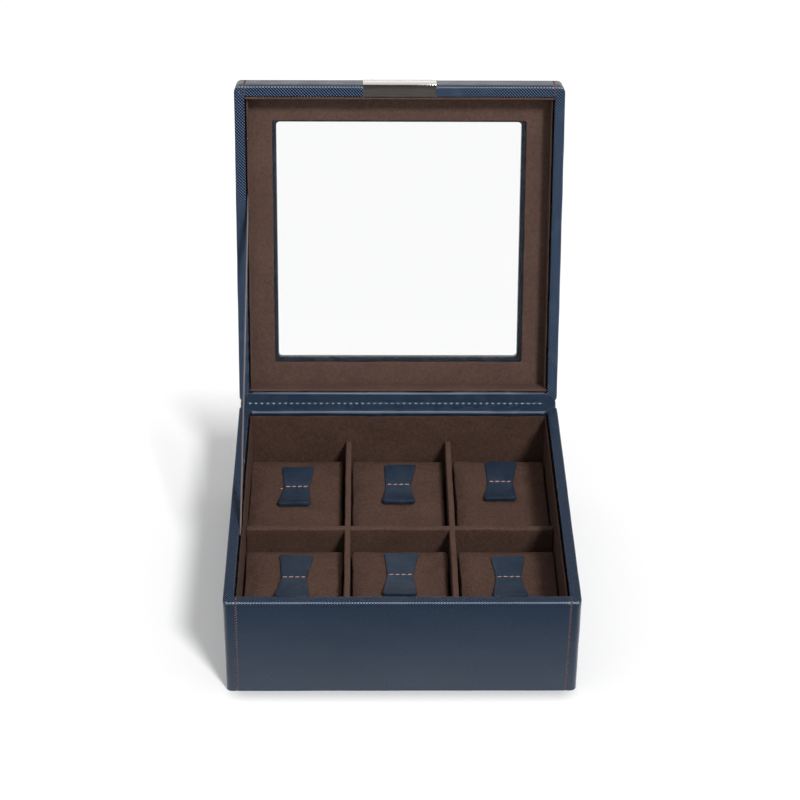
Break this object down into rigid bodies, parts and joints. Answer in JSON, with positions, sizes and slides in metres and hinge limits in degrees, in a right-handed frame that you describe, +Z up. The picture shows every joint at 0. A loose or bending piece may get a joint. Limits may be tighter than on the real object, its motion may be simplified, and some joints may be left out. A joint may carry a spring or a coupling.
{
  "type": "lidded watch box with loose cushions",
  "caption": "Square leather watch box, its windowed lid standing open, with lined compartments, loose cushions, a ribbon lid stay and a magnetic catch plate.",
  "frame": {"origin": "middle of the base's footprint, on the surface that the box stands on", "axes": "+Z up, front (the side that opens) towards -Y, hinge along X at the back, +X to the right seen from the front; the lid is stored open, a little past upright"},
  "size_m": [0.22, 0.302, 0.2855],
  "materials": {
    "case_leather": "cross-grained, satin",
    "tab_leather": "smooth, satin",
    "suede_lining": "brushed suede",
    "cushion_suede": "brushed suede over foam",
    "board": "fibreboard",
    "felt": "felt",
    "glass": "clear",
    "polished_steel": "polished",
    "magnet": "nickel plated",
    "ribbon": "woven ribbon"
  },
  "bodies": {
    "base": {"base_board_left": "board", "base_board_right": "board", "base_board_front": "board", "base_board_back": "board", "base_board_floor": "board", "underside_felt": "felt", "catch_magnet_left": "magnet", "catch_magnet_right": "magnet", "base_cover_left": "case_leather", "base_cover_right": "case_leather", "base_cover_front": "case_leather", "base_cover_back": "case_leather", "lining_floor": "suede_lining", "lining_left": "suede_lining", "lining_right": "suede_lining", "lining_front": "suede_lining", "lining_back": "suede_lining", "divider_left": "suede_lining", "divider_right": "suede_lining", "divider_cross": "suede_lining", "hinge_gusset": "case_leather", "hinge_strap": "case_leather", "stay_ribbon": "ribbon"},
    "lid": {"lid_board_left": "board", "lid_board_right": "board", "lid_board_front": "board", "lid_board_back": "board", "lid_rail_front": "board", "lid_rail_back": "board", "lid_stile_left": "board", "lid_stile_right": "board", "window_glass": "glass", "lid_cover_top": "case_leather", "lid_cover_left": "case_leather", "lid_cover_right": "case_leather", "lid_cover_front": "case_leather", "lid_cover_back": "case_leather", "clasp_plate": "polished_steel", "lid_lining_panel": "suede_lining", "lid_lining_left": "suede_lining", "lid_lining_right": "suede_lining", "lid_lining_front": "suede_lining", "lid_lining_back": "suede_lining"},
    "cushion_rear_left": {"cushion_rear_left": "cushion_suede", "tab_rear_left": "tab_leather"},
    "cushion_rear_middle": {"cushion_rear_middle": "cushion_suede", "tab_rear_middle": "tab_leather"},
    "cushion_rear_right": {"cushion_rear_right": "cushion_suede", "tab_rear_right": "tab_leather"},
    "cushion_front_left": {"cushion_front_left": "cushion_suede", "tab_front_left": "tab_leather"},
    "cushion_front_middle": {"cushion_front_middle": "cushion_suede", "tab_front_middle": "tab_leather"},
    "cushion_front_right": {"cushion_front_right": "cushion_suede", "tab_front_right": "tab_leather"}
  },
  "joints": [
    {"name": "lid_hinge", "type": "hinge", "parent": "base", "child": "lid", "pos_m": [0, 0.111, 0.0705], "axis": [-1, 0, 0], "range_deg": [-105, 0], "deforming": ["hinge_gusset", "hinge_strap", "stay_ribbon"]},
    {"name": "cushion_rear_left_lift", "type": "slide", "parent": "base", "child": "cushion_rear_left", "axis": [0, 0, 1], "range_m": [0, 0.065]},
    {"name": "cushion_rear_middle_lift", "type": "slide", "parent": "base", "child": "cushion_rear_middle", "axis": [0, 0, 1], "range_m": [0, 0.065]},
    {"name": "cushion_rear_right_lift", "type": "slide", "parent": "base", "child": "cushion_rear_right", "axis": [0, 0, 1], "range_m": [0, 0.065]},
    {"name": "cushion_front_left_lift", "type": "slide", "parent": "base", "child": "cushion_front_left", "axis": [0, 0, 1], "range_m": [0, 0.065]},
    {"name": "cushion_front_middle_lift", "type": "slide", "parent": "base", "child": "cushion_front_middle", "axis": [0, 0, 1], "range_m": [0, 0.065]},
    {"name": "cushion_front_right_lift", "type": "slide", "parent": "base", "child": "cushion_front_right", "axis": [0, 0, 1], "range_m": [0, 0.065]}
  ]
}
